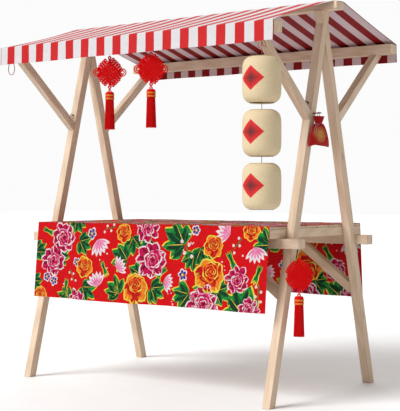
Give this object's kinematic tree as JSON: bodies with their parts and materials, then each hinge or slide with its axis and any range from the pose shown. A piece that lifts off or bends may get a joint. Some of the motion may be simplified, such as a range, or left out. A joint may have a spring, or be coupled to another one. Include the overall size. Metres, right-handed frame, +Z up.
{
  "type": "wooden market stall",
  "caption": "Timber market stall: A-shaped end frames carry a striped gable canopy and a cloth-covered counter, dressed with paper lanterns, knotted tassels and a pouch.",
  "frame": {"origin": "middle of the stall's own box, on the ground under the feet", "axes": "+X along the counter to the end with the lanterns, +Y from the customer's side to the back, +Z up"},
  "size_m": [1.8728, 1.285, 2.002],
  "materials": {
    "pale_timber": "planed, unpainted softwood",
    "striped_canvas": "woven canvas in red and white stripes",
    "printed_cloth": "printed cotton, flowers on red",
    "dark_steel": "blackened",
    "bright_steel": "zinc plated",
    "lantern_paper": "ribbed translucent paper",
    "red_cord": "braided satin cord",
    "red_thread": "silky threads",
    "pouch_cloth": "brocade"
  },
  "bodies": {
    "stall": {"post_front_right": "pale_timber", "post_back_right": "pale_timber", "post_front_left": "pale_timber", "post_back_left": "pale_timber", "strut_front_right": "pale_timber", "strut_back_right": "pale_timber", "strut_front_left": "pale_timber", "strut_back_left": "pale_timber", "brace_front_right": "pale_timber", "brace_back_right": "pale_timber", "brace_front_left": "pale_timber", "brace_back_left": "pale_timber", "ridge_beam": "pale_timber", "eave_beam_front": "pale_timber", "eave_beam_back": "pale_timber", "rail_front": "pale_timber", "rail_back": "pale_timber", "cross_beam_right": "pale_timber", "cross_beam_left": "pale_timber", "counter_boards": "pale_timber", "canopy": "striped_canvas", "counter_cloth": "printed_cloth", "leg_hooks": "dark_steel", "screw_eyes": "bright_steel", "pouch_peg": "dark_steel", "pouch": "pouch_cloth", "tie_loop": "red_cord"},
    "lantern_string": {"lantern_cords": "red_cord", "lantern_top": "lantern_paper", "lantern_middle": "lantern_paper", "lantern_bottom": "lantern_paper"},
    "left_knot": {"knot_left": "red_cord", "tassel_left": "red_thread"},
    "right_knot": {"knot_right": "red_cord", "tassel_right": "red_thread"},
    "side_knot": {"knot_side": "red_cord", "tassel_side": "red_thread"}
  },
  "joints": [
    {"name": "lantern_swing", "type": "hinge", "parent": "stall", "child": "lantern_string", "pos_m": [0.81756, -0.5495, 1.7745], "axis": [1, 0, 0], "range_deg": [-8, 8]},
    {"name": "knot_left_swing", "type": "hinge", "parent": "stall", "child": "left_knot", "pos_m": [-0.15645, -0.5265, 1.7745], "axis": [1, 0, 0], "range_deg": [-10, 10]},
    {"name": "knot_right_swing", "type": "hinge", "parent": "stall", "child": "right_knot", "pos_m": [0.12355, -0.5265, 1.7745], "axis": [1, 0, 0], "range_deg": [-10, 10]},
    {"name": "side_knot_swing", "type": "hinge", "parent": "stall", "child": "side_knot", "pos_m": [0.86255, -0.29455, 0.7475], "axis": [1, 0, 0], "range_deg": [-10, 1]}
  ]
}
